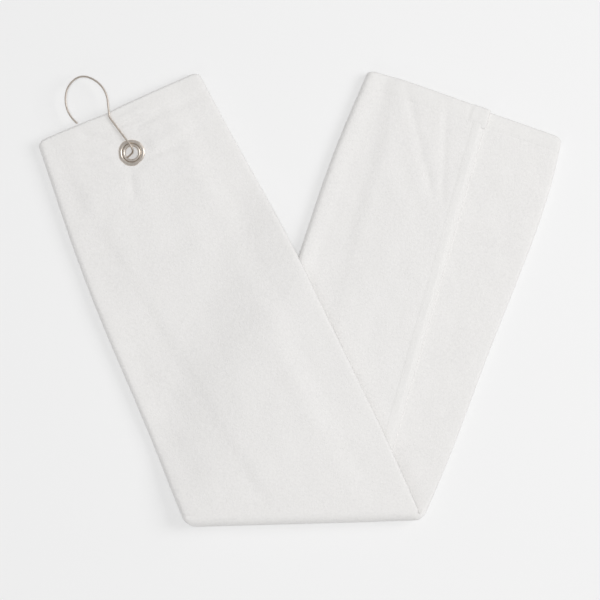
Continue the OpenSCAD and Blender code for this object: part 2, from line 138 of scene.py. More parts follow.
def spline(places, values):
    """Natural cubic spline through a few points."""
    x, y = np.array(places, float), np.array(values, float)
    count, step = len(x), np.diff(x)
    matrix, right_side = np.zeros((count, count)), np.zeros(count)
    matrix[0, 0] = matrix[-1, -1] = 1
    for i in range(1, count - 1):
        matrix[i, i - 1 : i + 2] = step[i - 1], 2 * (step[i - 1] + step[i]), step[i]
        right_side[i] = 3 * ((y[i + 1] - y[i]) / step[i] - (y[i] - y[i - 1]) / step[i - 1])
    curve = np.linalg.solve(matrix, right_side)

    def value_at(place):
        i = np.clip(np.searchsorted(x, place) - 1, 0, count - 2)
        past = place - x[i]
        slope = (y[i + 1] - y[i]) / step[i] - step[i] * (2 * curve[i] + curve[i + 1]) / 3
        cubic = (curve[i + 1] - curve[i]) / (3 * step[i])
        return y[i] + slope * past + curve[i] * past**2 + cubic * past**3

    return value_at


def waves(x, y, seed, length, count=9):
    """Gentle undulation made of seeded plane waves, about -1 to 1."""
    draw = np.random.default_rng(seed)
    total = 0
    for _ in range(count):
        heading, phase = draw.uniform(0, 2 * math.pi, 2)
        pitch = 2 * math.pi / (length * draw.uniform(0.7, 1.6))
        total = total + np.sin(pitch * (x * math.cos(heading) + y * math.sin(heading)) + phase)
    return total / math.sqrt(count)


def crease(x, y, start, end, half, height, step):
    """A soft crease that fades out at both ends, with a step across it."""
    run_x, run_y = end[0] - start[0], end[1] - start[1]
    run = math.hypot(run_x, run_y)
    share = ((x - start[0]) * run_x + (y - start[1]) * run_y) / run**2
    across = ((y - start[1]) * run_x - (x - start[0]) * run_y) / (run * half)
    along = smooth(share / 0.3) * smooth((1 - share) / 0.3)
    return along * (height + step * across) * hill(across, 1)


def to_row(x, y):
    """The turn's frame to the row's frame, which is the CAD's, still in mm."""
    cos, sin = math.cos(TILT), math.sin(TILT)
    return x * cos - y * sin + TURN_X, x * sin + y * cos + TURN_Y


# ---------------------------------------------------------------- the folded cloth as a mapping
class Leg:
    """One leg of the V in its own frame: u across from its left fold, v along from the turn.

    left and right are the outlines of its long folds, as places v and values u. left_ends and
    right_ends are the places v of its first and last row on them. outer and inner give the flaps'
    free edges, as u where v is 0 and the fall of u along v.
    """

    def __init__(self, side, left, right, left_ends, right_ends, outer, inner):
        self.side = side
        self.left, self.right = spline(*left), spline(*right)
        self.left_ends, self.right_ends = left_ends, right_ends
        self.outer, self.inner = outer, inner

    def to_turn(self, u, v):
        """The leg's frame to the turn's frame."""
        return u * COS + self.side * v * SIN, -self.side * u * SIN + v * COS

    def row_ends(self, tau):
        """Left and right ends of the rows across the leg at shares tau of its length."""
        v_left = self.left_ends[0] + tau * (self.left_ends[1] - self.left_ends[0])
        v_right = self.right_ends[0] + tau * (self.right_ends[1] - self.right_ends[0])
        return np.stack([self.left(v_left), v_left], -1), np.stack([self.right(v_right), v_right], -1)

    def edge_at(self, line, left, unit):
        """How far along each row a flap's free edge lies."""
        start, fall = line
        return (start - fall * left[..., 1] - left[..., 0]) / (unit[..., 0] + fall * unit[..., 1])

    def tau_in(self, distance):
        """The share of the length that lies so far in from the leg's end."""
        runs = (ends[1] - ends[0] for ends in (self.left_ends, self.right_ends))
        return 1 - distance / (sum(runs) / 2)

    def taus(self, start, stop):
        """Rows between two shares of the length."""
        run = self.left_ends[1] - self.left_ends[0]
        return np.linspace(start, stop, max(3, int(run * (stop - start) / CELL) + 1))


lower = Leg(
    side=1,
    left=([0, 100, 200, 290, 356], [0, 0.2, 0, -3.6, -1.7]),
    right=([70, 110, 200, 290, 325, 364], [154.5, 155.7, 155.1, 155.4, 153.5, 148]),
    left_ends=(TURN_Z / COS, 356.2),
    right_ends=((TURN_Z + STRIP * SIN) / COS, 361),
    outer=(124.2, 0.0925),
    inner=(65.0, 0.1208),
)
upper = Leg(
    side=-1,
    left=([0, 10, 35, 70, 100, 172, 219, 265, 302], [-4.2, -4.4, -3.9, -2.4, -1.5, 0.3, 3.2, 7.7, 11.6]),
    right=([-60, 0, 43, 100, 150, 200, 252, 302], [154, 154.4, 153.6, 152, 150.6, 147.4, 143.2, 139.9]),
    left_ends=((TURN_Z + 4.2 * SIN) / COS, 301.6),  # its left fold starts 4.2 outside the lower leg's
    right_ends=((TURN_Z - STRIP * SIN) / COS, 301.6),
    outer=(120.4, 0.0195),
    inner=(58.8, 0.126),
)


def section(leg, kind, share, left, unit, width):
    """Distance across and depth below the leg's outside, at shares of the way over one part."""
    right_line = width - RIGHT_RADIUS - LAYER / 2
    left_line = LEFT_RADIUS + LAYER / 2
    angle = share * math.pi
    if kind == "inner":
        free = leg.edge_at(leg.inner, left, unit)
        return free + share * (right_line - free), INNER
    if kind == "right":
        return right_line + RIGHT_RADIUS * np.sin(angle), (MIDDLE + INNER) / 2 + RIGHT_RADIUS * np.cos(angle)
    if kind == "middle":
        return right_line + share * (left_line - right_line), MIDDLE
    if kind == "left":
        return left_line - LEFT_RADIUS * np.sin(angle), (MIDDLE + OUTER) / 2 - LEFT_RADIUS * np.cos(angle)
    free = leg.edge_at(leg.outer, left, unit)
    return left_line + share * (free - left_line), OUTER


def columns(leg, tau, kind, share, inset):
    """Rows of one part: left ends, unit vectors, widths, distances across and depths, in the leg's frame.

    inset, where given, is the distance in from the flap's free edge, and takes the place of share.
    """
    left, right = leg.row_ends(tau)
    left, right = left[:, None, :], right[:, None, :]
    width = np.linalg.norm(right - left, axis=-1)
    unit = (right - left) / width[..., None]
    if inset is None:
        across, depth = section(leg, kind, share, left, unit, width)
    elif kind == "outer":
        across, depth = leg.edge_at(leg.outer, left, unit) - inset, OUTER
    else:
        across, depth = leg.edge_at(leg.inner, left, unit) + inset, INNER
    across, depth, width = np.broadcast_arrays(across, depth, width)
    return left, unit, width, across, depth


def place(leg, tau, kind, share=None, inset=None):
    """Points of a leg's cloth, halfway through its thickness, in the turn's frame."""
    left, unit, width, across, depth = columns(leg, tau, kind, share, inset)
    u, v = np.moveaxis(left + unit * across[..., None], -1, 0)
    v = v - end_inset(leg, tau, kind, across, width)
    x, y = leg.to_turn(u, v)
    inner_edge = leg.edge_at(leg.inner, left, unit)
    if leg is lower:
        height = lower_height(tau, across, depth, inner_edge, x, y)
    else:
        outer_edge = leg.edge_at(leg.outer, left, unit)
        height = upper_height(tau, across, depth, outer_edge, inner_edge, x, y)
    return np.stack([x, y, height], -1)


def end_inset(leg, tau, kind, across, width):
    """How far the leg's end is drawn in: at its rounded corners, and beside the hook's shank."""
    corner = 5.5
    inset = 0
    for distance in (across, width - across):
        inside = np.clip(corner - distance, 0, corner)
        inset = inset + corner - np.sqrt(corner**2 - inside**2)
    if leg is upper:
        inset = inset + 1.1 * smooth((across - 8) / 45) + 0.6 * hill(across - 54, 9)
    elif kind == "outer":  # the flap's end stands out a little past the panel under it
        inset = inset - 1.3 * smooth(across / 30)
    return inset * smooth((tau - 0.94) / 0.06)[:, None]


def flapward(depth):
    """Share of the way from the middle panel, 0, to the outer flap, 1."""
    return np.clip((depth - MIDDLE) / (OUTER - MIDDLE), 0, 1)


def lower_height(tau, across, depth, inner_edge, x, y):
    """Height of the lower leg's layers, whose middle panel lies on the table."""
    row_x, row_y = to_row(x, y)
    fade = smooth(tau / 0.05)[:, None]  # nothing but the stack at the turn
    over = flapward(depth)
    outer_flap, both_flaps = depth > 6, depth > 3
    # the outer flap lies lower where the inner flap does not reach
    gap = smooth((inner_edge + 3 - across) / 12) * smooth((across - 4) / 12)
    z = depth - fade * 1.3 * over * gap * outer_flap
    relief = 1.15 * sum(crease(row_x, row_y, *line) for line in LOWER_CREASES)
    z = z + fade * over * (relief + 0.22 * waves(row_x, row_y, seed=3, length=60))
    return z + fade * 0.12 * both_flaps * waves(row_x, row_y, seed=4, length=17)


def upper_height(tau, across, depth, outer_edge, inner_edge, x, y):
    """Height of the upper leg's layers, which drape over the lower leg to the table."""
    row_x, row_y = to_row(x, y)
    fade = smooth(tau / 0.05)[:, None]  # nothing but the stack at the turn
    over = 1 - flapward(depth)
    over_outer_flap = depth < 5.2
    # the middle panel and inner flap lie lower where the flaps under them do not reach
    z = TOP - depth - fade * 1.5 * smooth((across - outer_edge + 9) / 19) * over_outer_flap
    z = z - fade * 0.8 * over * smooth((inner_edge + 4 - across) / 12) * smooth((across - 4) / 14)
    # past the lower leg's left fold the whole leg drops by about the height of three layers
    beyond = -(x * COS - y * SIN) + 3 * waves(row_x, row_y, seed=8, length=130)
    from_grommet = np.hypot(row_x - GROMMET_X, row_y - GROMMET_Y)
    drop = TURN_Z * smooth((beyond + 8) / 62) - 1.25 * hill(from_grommet, 46)
    # the free end lifts a little
    end_lift = 0.5 * (0.6 + 0.4 * waves(row_x, row_y, seed=12, length=70))
    drop = drop - end_lift * smooth((tau - 0.9) / 0.1)[:, None]
    relief = 1.3 * sum(crease(row_x, row_y, *line) for line in UPPER_CREASES)
    relief = relief + 0.26 * waves(row_x, row_y, seed=5, length=62)
    relief = relief + 0.11 * waves(row_x, row_y, seed=6, length=19)
    z = z - drop + fade * over * relief * smooth((from_grommet - 10) / 9)
    # squeezed between washer and flange, with the cloth swelling around them
    centre = TOP - STACK / 2 - drop
    squeeze = 1 - (1 - PRESSED_GROMMET / STACK) * (1 - smooth((from_grommet - 9.2) / 8.5))
    return centre + (z - centre) * squeeze


def turn_rows(kind, beta, share=None, inset=None):
    """Points of the rows round the turn, at angles beta from the lower leg, 0, to the upper leg, pi."""
    ends = []
    for leg in (lower, upper):
        left, unit, _, across, depth = columns(leg, np.zeros(1), kind, share, inset)
        u, v = np.moveaxis(left + unit * across[..., None], -1, 0)
        ends.append((leg.to_turn(u, v)[0], depth))
    (lower_x, lower_depth), (upper_x, upper_depth) = ends
    beta = beta[:, None]
    weight = 0.5 - 0.5 * np.cos(beta)
    x = lower_x * (1 - weight) + upper_x * weight
    depth = lower_depth * (1 - weight) + upper_depth * weight
    radius = TURN_Z - depth
    # the ends of the turn are pulled in a little, as folded cloth is
    pull = np.sin(beta) * np.clip((radius - 3) / 5, 0, 1)
    x = x - 3.2 * pull * smooth((x - 150) / 18) + 1.2 * pull * smooth((12 - x) / 12)
    # the innermost layer stops early and bridges the tip, to lie flat when the V is opened
    reach = 1 - 0.04 * smooth((depth - MIDDLE) / LEVEL) - 0.74 * smooth((depth - INNER) / LEVEL)
    angle = np.where(beta < math.pi / 2, beta * reach, math.pi - (math.pi - beta) * reach)
    y = TURN_Z - radius * np.sin(angle) * (1 - 0.04 * np.sin(angle) * smooth((x - 120) / 50))
    return np.stack([x, y, TURN_Z - radius * np.cos(angle)], -1)


def column_shares(kind):
    """Where the columns of one part lie, closer together where the end hem steps down from the long hem."""
    if kind in FOLD_COLUMNS:
        return np.linspace(0, 1, FOLD_COLUMNS[kind])
    width = PART_WIDTHS[kind]
    shares = np.linspace(0, 1, int(width / CELL))
    if kind == "middle":
        return shares
    step = STEP_IN / width if kind == "inner" else 1 - STEP_IN / width
    shares = shares[abs(shares - step) * width > 2]
    return np.sort(np.concatenate([shares, step + np.linspace(-1.4, 1.4, 7) / width]))


SHARES = {kind: column_shares(kind) for kind in PART_WIDTHS}
LEFT_COLUMN = sum(len(SHARES[kind]) - 1 for kind in ("inner", "right", "middle"))  # first of the left fold
QUARTER = math.pi / 2
# no row lies right at the tip, so the inner layers bridge it flat when the V is opened
BETA = np.concatenate([
    np.linspace(0, QUARTER - TIP_GAP, TURN_ROWS),
    np.linspace(QUARTER + TIP_GAP, math.pi, TURN_ROWS),
])


def whole(rows_of):
    """One grid over all five parts, from a function that gives the rows of one part."""
    parts = [rows_of(kind, shares) for kind, shares in SHARES.items()]
    later = [part[:, 1:] for part in parts[1:]]  # a column that two parts share is kept once
    return np.concatenate(parts[:1] + later, axis=1)


def normals_of(points):
    """Unit normals of a grid of points."""
    normals = np.cross(np.gradient(points, axis=0), np.gradient(points, axis=1))
    return normals / np.maximum(np.linalg.norm(normals, axis=-1, keepdims=True), 1e-9)


def towel(rows_of, turn_of):
    """The lower leg, the turn and the upper leg as one run of rows: points, normals, and a slice for each."""
    low = lower.taus(0, lower.tau_in(END_HEM - HEM_LAP))
    up = upper.taus(0, upper.tau_in(END_HEM - HEM_LAP))
    turn = turn_of(BETA)
    halves = [
        np.concatenate([rows_of(lower, low[:0:-1]), turn[:TURN_ROWS]]),
        np.concatenate([turn[TURN_ROWS:], rows_of(upper, up[1:])]),
    ]
    first = len(low) - 1
    last = first + len(BETA) - 1
    slices = slice(0, first + 1), slice(first, last + 1), slice(last, None)
    return np.concatenate(halves), np.concatenate([normals_of(half) for half in halves]), slices


# ---------------------------------------------------------------- meshes
def make_piece(name, points, faces, material, sharp=()):
    """A smooth mesh object from points in mm of the row's frame. sharp lists the edges that stay crisp."""
    mesh = bpy.data.meshes.new(name)
    mesh.from_pydata((np.asarray(points) * MM).tolist(), [], faces)
    mesh.validate()
    mesh.polygons.foreach_set("use_smooth", [True] * len(mesh.polygons))
    if sharp:
        crisp = {tuple(sorted(edge)) for edge in sharp}
        ends = np.empty(len(mesh.edges) * 2, int)
        mesh.edges.foreach_get("vertices", ends)
        pairs = np.sort(ends.reshape(-1, 2), axis=1).tolist()
        mesh.edges.foreach_set("use_edge_sharp", [tuple(pair) in crisp for pair in pairs])
    mesh.update()
    mesh.materials.append(material)
    piece = bpy.data.objects.new(name, mesh)
    bpy.context.scene.collection.objects.link(piece)
    return piece


def make_cloth(name, points, faces, material, sharp=()):
    """A piece from points in the turn's frame."""
    x, y = to_row(points[:, 0], points[:, 1])
    return make_piece(name, np.stack([x, y, points[:, 2]], -1), faces, material, sharp)


def open_edges(quads):
    """The edges that only one square has, each in its square's direction."""
    found = {}
    for corner in range(4):
        for start, end in zip(quads[:, corner].tolist(), quads[:, (corner + 1) % 4].tolist()):
            found.setdefault(frozenset((start, end)), []).append((start, end))
    return [edges[0] for edges in found.values() if len(edges) == 1]


def rim_directions(edges, middle, normals):
    """The way out of the sheet, in its own plane, at each point of its edges."""
    outward = {}
    for start, end in edges:
        away = unit_vector(np.cross(middle[end] - middle[start], normals[start] + normals[end]))
        for point in (start, end):
            outward[point] = outward.get(point, 0) + away
    return {point: unit_vector(away) for point, away in outward.items()}


# an edge's round profile: shares of the thickness up, and shares of the bulge out
ROUND_RIM = ((0.36, 0.6), (0.0, 1.0), (-0.36, 0.6))
PRESSED_RIM = ((0.3, 0.7), (-0.1, 1.15), (-0.68, 1.35))


def slab(name, material, points, normals, thickness, bulge, seams="", pressed="", keep=None):
    """A closed sheet round a grid of middle points in the turn's frame.

    seams names the sides (first, last, left, right) that carry on into the next piece, and pressed the
    side that lies flat on the layer under it. keep masks the grid's squares.
    """
    rows, cols = points.shape[:2]
    thickness = np.broadcast_to(thickness, (rows, cols)).reshape(-1, 1)
    middle, normals = points.reshape(-1, 3), normals.reshape(-1, 3)
    index = np.arange(rows * cols).reshape(rows, cols)
    quads = np.stack([index[:-1, :-1], index[1:, :-1], index[1:, 1:], index[:-1, 1:]], -1)
    quads = quads.reshape(-1, 4) if keep is None else quads[keep]
    sides = {"first": index[0], "last": index[-1], "left": index[:, 0], "right": index[:, -1]}
    sides = {side: set(numbers.tolist()) for side, numbers in sides.items()}
    border = open_edges(quads)
    seam = {edge for edge in border if any(sides[side].issuperset(edge) for side in seams.split())}
    used = np.unique(quads)
    count = len(used)
    number_of = np.full(rows * cols, -1)
    number_of[used] = np.arange(count)

    rim, rim_points = {}, []
    free = [edge for edge in border if edge not in seam]
    for point, away in rim_directions(free, middle, normals).items():
        rim[point] = 2 * count + len(rim_points)
        profile = PRESSED_RIM if pressed and point in sides[pressed] else ROUND_RIM
        for up, out in profile:
            rim_points.append(middle[point] + thickness[point] * (normals[point] * up + away * bulge * out))

    def down_edge(point):
        """The numbers of the points from the top to the bottom at one point of the border."""
        number = int(number_of[point])
        return [number, *(range(rim[point], rim[point] + 3) if point in rim else ()), number + count]

    top_faces = number_of[quads]
    faces = top_faces.tolist() + (top_faces[:, ::-1] + count).tolist()
    sharp = []
    for start, end in border:
        from_start, from_end = down_edge(start), down_edge(end)
        if (start, end) not in seam:
            for step in range(4):
                faces.append((from_end[step], *from_start[step : step + 2], from_end[step + 1]))
            continue
        faces.append((from_end[0], from_start[0], from_start[-1], from_end[-1]))
        sharp += [(from_start[0], from_end[0]), (from_start[-1], from_end[-1])]
        sharp += [*zip(from_start[:-1], from_start[1:]), *zip(from_end[:-1], from_end[1:])]
        if start in rim:  # the rounded edge's end, closed flat
            faces.append(from_start[::-1])
        if end in rim:
            faces.append(from_end)
    half = normals[used] * thickness[used] / 2
    points = [middle[used] + half, middle[used] - half, np.array(rim_points).reshape(-1, 3)]
    return make_cloth(name, np.concatenate(points), faces, material, sharp)


def tube_faces(first, rings, sides):
    """Faces of a closed tube of rings of points, numbered on from first."""
    faces = []
    for ring in range(rings - 1):
        here = first + ring * sides
        for side in range(sides):
            after = (side + 1) % sides
            there = here + sides
            faces.append((here + side, here + after, there + after, there + side))
    last = first + (rings - 1) * sides
    return faces + [tuple(range(first + sides - 1, first - 1, -1)), tuple(range(last, last + sides))]


# ---------------------------------------------------------------- materials
def new_material(name):
    """A new material, its nodes' tree and its shader."""
    material = bpy.data.materials.new(name)
    material.use_nodes = True
    return material, material.node_tree, material.node_tree.nodes["Principled BSDF"]


def object_coordinates(tree):
    return tree.nodes.new("ShaderNodeTexCoord").outputs["Object"]


def noise(tree, coordinates, scale, detail, roughness, distortion=0.0):
    """A noise of that many patches to the metre."""
    node = tree.nodes.new("ShaderNodeTexNoise")
    settings = {"Scale": scale, "Detail": detail, "Roughness": roughness, "Distortion": distortion}
    for socket, value in settings.items():
        node.inputs[socket].default_value = value
    tree.links.new(coordinates, node.inputs["Vector"])
    return node.outputs["Fac"]


def ramp(tree, factor, stops):
    """A colour ramp of two or three stops."""
    node = tree.nodes.new("ShaderNodeValToRGB")
    elements = node.color_ramp.elements
    for element, (position, colour) in zip(elements, (stops[0], stops[-1])):
        element.position, element.color = position, (*colour, 1)
    for position, colour in stops[1:-1]:
        elements.new(position).color = (*colour, 1)
    tree.links.new(factor, node.inputs["Fac"])
    return node.outputs["Color"]


def weighted(tree, first, first_share, second, second_share):
    """The sum of two values, each times its share."""
    products = []
    for value, share in ((first, first_share), (second, second_share)):
        node = tree.nodes.new("ShaderNodeMath")
        node.operation = "MULTIPLY"
        tree.links.new(value, node.inputs[0])
        node.inputs[1].default_value = share
        products.append(node.outputs[0])
    node = tree.nodes.new("ShaderNodeMath")
    node.operation = "ADD"
    for socket, product in zip(node.inputs, products):
        tree.links.new(product, socket)
    return node.outputs[0]


def bump(tree, height, strength, distance, before=None):
    """A bump of that height in metres, on top of the one before."""
    node = tree.nodes.new("ShaderNodeBump")
    node.inputs["Strength"].default_value = strength
    node.inputs["Distance"].default_value = distance
    tree.links.new(height, node.inputs["Height"])
    if before is not None:
        tree.links.new(before, node.inputs["Normal"])
    return node.outputs["Normal"]


def cloth_material(name, tint, pile, mottling, weave=0.0):
    """White cotton terry: short uneven pile, soft mottling and a trace of sheen."""
    material, tree, shader = new_material(name)
    coordinates = object_coordinates(tree)
    patches = noise(tree, coordinates, 30, 5, 0.6)
    loops = noise(tree, coordinates, 620, 3, 0.6)
    dark = tuple(channel * (1 - 2.2 * mottling) for channel in tint)
    light = tuple(min(1.0, channel * (1 + 1.2 * mottling)) for channel in tint)
    mottled = weighted(tree, patches, 0.3, loops, 0.7)
    colour = ramp(tree, mottled, [(0.33, dark), (0.5, tint), (0.67, light)])
    tree.links.new(colour, shader.inputs["Base Color"])
    shader.inputs["Roughness"].default_value = 0.96
    shader.inputs["Specular IOR Level"].default_value = 0.12
    shader.inputs["Sheen Weight"].default_value = 0.22
    shader.inputs["Sheen Roughness"].default_value = 0.55
    clumps = noise(tree, coordinates, 270, 3, 0.6, 0.3)
    fuzz = noise(tree, coordinates, 1150, 4, 0.65)
    normal = bump(tree, clumps, 0.32 * pile, 0.0011)
    normal = bump(tree, fuzz, 0.5 * pile, 0.0006, normal)
    if weave:
        yarns = tree.nodes.new("ShaderNodeTexVoronoi")
        yarns.inputs["Scale"].default_value = 900
        tree.links.new(coordinates, yarns.inputs["Vector"])
        normal = bump(tree, yarns.outputs["Distance"], weave, 0.0004, normal)
    tree.links.new(normal, shader.inputs["Normal"])
    return material


def metal_material(name, tint, roughness, wear):
    """Nickel plate with fine scratches and slightly cloudy wear."""
    material, tree, shader = new_material(name)
    coordinates = object_coordinates(tree)
    cloud = noise(tree, coordinates, 420, 4, 0.6)
    scratches = noise(tree, coordinates, 3200, 3, 0.7)
    worn = tuple(channel * (1 - wear) for channel in tint)
    tree.links.new(ramp(tree, cloud, [(0.3, worn), (0.62, tint)]), shader.inputs["Base Color"])
    shader.inputs["Metallic"].default_value = 1.0
    spread = tree.nodes.new("ShaderNodeMapRange")
    spread.inputs["To Min"].default_value = roughness * 0.7
    spread.inputs["To Max"].default_value = roughness * 1.5
    tree.links.new(cloud, spread.inputs["Value"])
    tree.links.new(spread.outputs["Result"], shader.inputs["Roughness"])
    normal = bump(tree, cloud, 0.12, 0.0004)
    tree.links.new(bump(tree, scratches, 0.06, 0.0001, normal), shader.inputs["Normal"])
    return material


def floor_material():
    """A pale table, softly lit from itself, which leaves hardly any shadow."""
    material, _, shader = new_material("pale_floor")
    shader.inputs["Base Color"].default_value = (0.585, 0.585, 0.585, 1)
    shader.inputs["Emission Color"].default_value = (1, 1, 1, 1)
    shader.inputs["Emission Strength"].default_value = 0.28
    shader.inputs["Roughness"].default_value = 0.9
    shader.inputs["Specular IOR Level"].default_value = 0.1
    return material


TERRY = cloth_material("terry_velour", (0.805, 0.794, 0.783), 1.0, 0.02)
HEM = cloth_material("sewn_hem", (0.80, 0.79, 0.778), 0.8, 0.015, 0.12)
THREAD = cloth_material("cotton_thread", (0.81, 0.80, 0.79), 0.3, 0.01)
NICKEL = metal_material("grommet_nickel", (0.92, 0.84, 0.76), 0.31, 0.14)
WIRE = metal_material("wire_nickel", (0.75, 0.675, 0.605), 0.4, 0.1)


# ---------------------------------------------------------------- panels
def thin_edge(inset, start, reach):
    """Share of the full thickness left near a free edge that lies pressed down."""
    return start + (1 - start) * smooth(inset / reach)


def panel_thickness():
    """Thickness of each column: the panels thin towards their free edges, inside the hems."""
    inner, outer = SHARES["inner"], SHARES["outer"]
    shares = np.ones(sum(len(shares) - 1 for shares in SHARES.values()) + 1)
    shares[: len(inner)] = thin_edge(inner * PART_WIDTHS["inner"], start=0.3, reach=6)
    shares[-len(outer) :] = thin_edge((1 - outer) * PART_WIDTHS["outer"], start=0.3, reach=6)
    return LAYER * shares[None, :]


def round_the_hole(points):
    """A mask of the squares that stay outside the grommet's hole."""
    x, y = to_row(points[..., 0], points[..., 1])
    distance = np.hypot(x - GROMMET_X, y - GROMMET_Y)
    centre = (distance[:-1, :-1] + distance[1:, :-1] + distance[1:, 1:] + distance[:-1, 1:]) / 4
    return centre > GROMMET_HOLE


def make_panels():
    """The cloth itself: the lower leg's panel and flap, the turn, and the upper leg."""
    points, normals, (low, turn, up) = towel(
        lambda leg, tau: whole(lambda kind, share: place(leg, tau, kind, share)),
        lambda beta: whole(lambda kind, share: turn_rows(kind, beta, share)),
    )
    thickness = panel_thickness()
    points = points - normals * (LAYER - thickness[..., None]) / 2

    def panel(name, rows, cols, seams, keep=None):
        grids = points[rows, cols], normals[rows, cols], thickness[:, cols]
        return slab(name, TERRY, *grids, PANEL_BULGE, seams=seams, keep=keep)

    everything, main, flap = slice(None), slice(0, LEFT_COLUMN + 1), slice(LEFT_COLUMN, None)
    return (
        panel("lower_cloth", low, main, "last right"),
        panel("lower_flap_cloth", low, flap, "last left"),
        panel("turn_cloth", turn, everything, "first last"),
        panel("upper_cloth", up, everything, "first", round_the_hole(points[up])),
    )


# ---------------------------------------------------------------- hems
def hem_profile(count):
    """Thickness across a hem from its edge inwards: a doubled edge that thins at its stitch line."""
    share = np.linspace(0, 1, count)
    groove = 0.2 * hill(share - SEAM, 0.06)
    return HEM_THICKNESS - groove - 0.85 * smooth((share - SEAM + 0.02) / 0.22)


def end_hem(name, leg, cols, seams=""):
    """A hem along a leg's end over some of the columns, thicker where it crosses the long hems."""
    tau = np.linspace(leg.tau_in(0), leg.tau_in(END_HEM), HEM_ROWS)
    points = whole(lambda kind, share: place(leg, tau, kind, share))
    normals = normals_of(points)
    run = distances(points[HEM_ROWS // 3])
    from_edge = np.minimum(run, run[-1] - run)
    # it steps up over the long hems, with a furrow beside the step
    crossing = 0.8 * (1 - smooth((from_edge - STEP_IN + 0.6) / 0.7))
    crossing = crossing - 0.7 * hill(from_edge - STEP_IN - 0.35, 0.45)
    inward = 1 - smooth((np.linspace(0, 1, HEM_ROWS) - 0.6) / 0.4)
    thickness = hem_profile(HEM_ROWS)[:, None] + crossing[None, :] * inward[:, None]
    grids = points[:, cols], normals[:, cols], thickness[:, cols]
    return slab(name, HEM, *grids, HEM_BULGE, seams=seams)


def long_hem(kind, names):
    """The hem on a flap's free edge, in three pieces: lower leg, turn and upper leg."""
    inset, full = np.linspace(0, LONG_HEM, LONG_HEM_COLUMNS), hem_profile(LONG_HEM_COLUMNS)
    if kind == "outer":  # its columns run the panel's way, towards the free edge
        inset, full = inset[::-1], full[::-1]
    points, normals, slices = towel(
        lambda leg, tau: place(leg, tau, kind, inset=inset),
        lambda beta: turn_rows(kind, beta, inset=inset),
    )
    # the edge lies pressed down on the layer outside it
    thickness = full * thin_edge(inset, start=0.5, reach=3.5)
    # flatter round the turn, so that the two legs' hems stay apart
    thickness = np.minimum(thickness, 2.6 + smooth((points[..., 1] - TURN_Z - 2) / 14))
    press = (full - thickness) / 2 + 0.25 * (1 - smooth(inset / 3))
    points = points - normals * press[..., None]
    pressed = "right" if kind == "outer" else "left"
    pieces = []
    for name, rows, seams in zip(names, slices, ("last", "first last", "first")):
        grids = points[rows], normals[rows], thickness[rows]
        pieces.append(slab(name, HEM, *grids, HEM_BULGE, seams=seams, pressed=pressed))
    return pieces


# ---------------------------------------------------------------- stitches
def one_stitch(centre, heading, up):
    """Points of a short plump length of thread whose ends dip into the cloth."""
    side = np.cross(heading, up)
    points = []
    for share in np.linspace(-1, 1, STITCH_RINGS):
        radius = THREAD_RADIUS * math.sqrt(1 - (abs(share) * 0.94) ** 3)
        middle = centre + heading * share * STITCH_LENGTH / 2 - up * 0.28 * share**2
        for angle in np.linspace(0, 2 * math.pi, STITCH_SIDES, endpoint=False):
            points.append(middle + radius * (up * math.sin(angle) + side * math.cos(angle)))
    return points


def stitching(name, seams):
    """A row of stitches along each seam, which is a line of points and its up vectors."""
    points, faces = [], []
    for line, ups in seams:
        run = distances(line)
        for number in range(int(run[-1] / STITCH_PITCH)):
            middle = (number + 0.5) * STITCH_PITCH
            centre = value_along(middle, run, line)
            heading = unit_vector(value_along(middle + 0.5, run, line) - centre)
            faces += tube_faces(len(points), STITCH_RINGS, STITCH_SIDES)
            points += one_stitch(centre, heading, unit_vector(value_along(middle, run, ups)))
    return make_cloth(name, np.array(points), faces, THREAD)


def raised(points, normals, up):
    """A seam on the cloth's upper face where up is 1, and on its lower face where up is -1."""
    ups = normals * np.sign(normals[:, 2:]) * up
    return points + ups * STITCH_RISE, ups


def long_seam(leg, up):
    """The seam of the outer flap's long hem."""
    tau = leg.taus(0.02, leg.tau_in(END_HEM + 1.5))
    beside = np.array([-0.5, 0, 0.5])  # the lines beside the seam give its normals
    points = place(leg, tau, "outer", inset=LONG_HEM * SEAM + beside)
    return raised(points[:, 1], normals_of(points)[:, 1], up)


def end_seam(leg, kind, first, last, count, up):
    """The seam of an end hem over a share of one part."""
    beside = (0.8, 0, -0.8)  # the lines beside the seam give its normals
    tau = np.array([leg.tau_in(END_HEM * SEAM + shift) for shift in beside])
    points = place(leg, tau, kind, np.linspace(first, last, count))
    return raised(points[1], normals_of(points)[1], up)


# ---------------------------------------------------------------- grommet and hook
def arc(centre, radius, first, last, count):
    """Points on an arc between two angles in degrees."""
    angles = np.radians(np.linspace(first, last, count))
    return [(centre[0] + radius * math.cos(angle), centre[1] + radius * math.sin(angle)) for angle in angles]


def rim_wobble(angle, radius):
    """The pressed rim's slight unevenness, which grows outwards."""
    uneven = math.sin(3 * angle + 0.6) + 0.6 * math.sin(5 * angle + 2.0) + 0.5 * math.sin(9 * angle)
    outward = max(0.0, (radius - 6.0) / 3.7)
    return 0.2 * outward * uneven


def lathe(name, profile, wobble, steps=96):
    """A ring turned about the grommet's axis from a closed profile of radii and heights."""
    points, faces, count = [], [], len(profile)
    for step in range(steps):
        angle = 2 * math.pi * step / steps
        for radius, height in profile:
            radius = radius + wobble * rim_wobble(angle, radius)
            x, y = GROMMET_X + radius * math.cos(angle), GROMMET_Y + radius * math.sin(angle)
            points.append((x, y, height))
    for step in range(steps):
        here, there = step * count, (step + 1) % steps * count
        for number in range(count):
            after = (number + 1) % count
            faces.append((here + number, there + number, there + after, here + after))
    return make_piece(name, points, faces, NICKEL)


